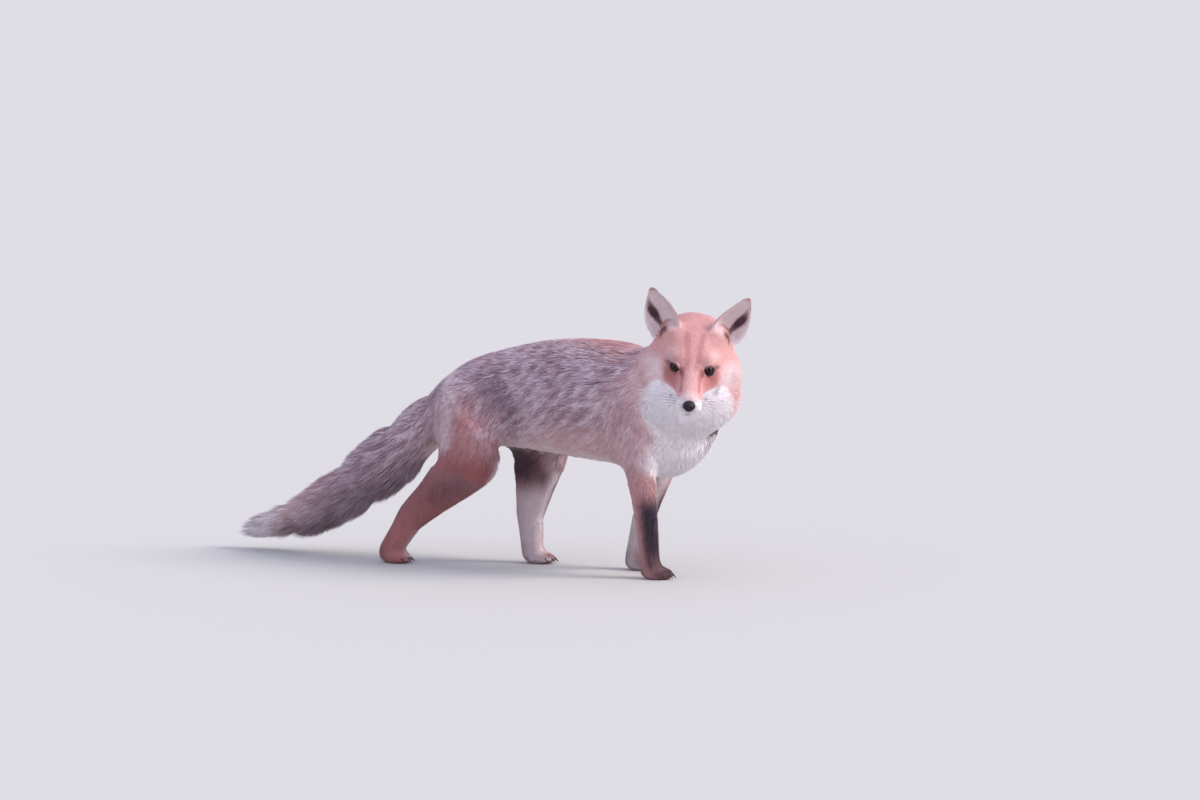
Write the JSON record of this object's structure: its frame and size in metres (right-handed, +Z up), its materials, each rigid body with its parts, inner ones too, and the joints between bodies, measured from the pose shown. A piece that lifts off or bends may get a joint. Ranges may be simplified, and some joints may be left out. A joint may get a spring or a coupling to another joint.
{
  "type": "red fox model",
  "caption": "Life-size still model of a red fox walking, its tail hanging behind it and its head turned to its right.",
  "frame": {"origin": "middle of the bounding box's base, on the floor", "axes": "+X towards the front of the body, +Y to the fox's left, +Z up; the head is turned towards -Y"},
  "size_m": [0.932, 0.2416, 0.461],
  "materials": {
    "coat_grizzled": "thick grizzled grey-brown fur with a redder line down the back",
    "coat_bib": "long soft fur, white on the throat and chest",
    "coat_face": "short orange fur, white on the lips and chin",
    "coat_ear": "short fur, pale inside and darker behind",
    "coat_tail": "long bushy grizzled fur",
    "coat_tail_tip": "long pale fur",
    "coat_foreleg": "short fur, tan with a black front",
    "coat_forefoot": "short black fur",
    "coat_thigh": "thick red-brown fur",
    "coat_hindleg": "short red fur",
    "eye": "polished amber eye with an upright slit pupil",
    "nose": "moist black leathery pad"
  },
  "bodies": {
    "root": {"trunk": "coat_grizzled", "neck": "coat_bib", "head": "coat_face", "ear_left": "coat_ear", "ear_right": "coat_ear", "eye_left": "eye", "eye_right": "eye", "nose": "nose", "tail_root": "coat_tail", "tail_middle": "coat_tail", "tail_tip": "coat_tail_tip", "upper_arm_left": "coat_grizzled", "upper_arm_right": "coat_grizzled", "forearm_left": "coat_foreleg", "forearm_right": "coat_foreleg", "forefoot_left": "coat_forefoot", "forefoot_right": "coat_forefoot", "thigh_left": "coat_thigh", "thigh_right": "coat_thigh", "shank_left": "coat_hindleg", "shank_right": "coat_hindleg", "hindfoot_left": "coat_hindleg", "hindfoot_right": "coat_hindleg"}
  },
  "joints": []
}
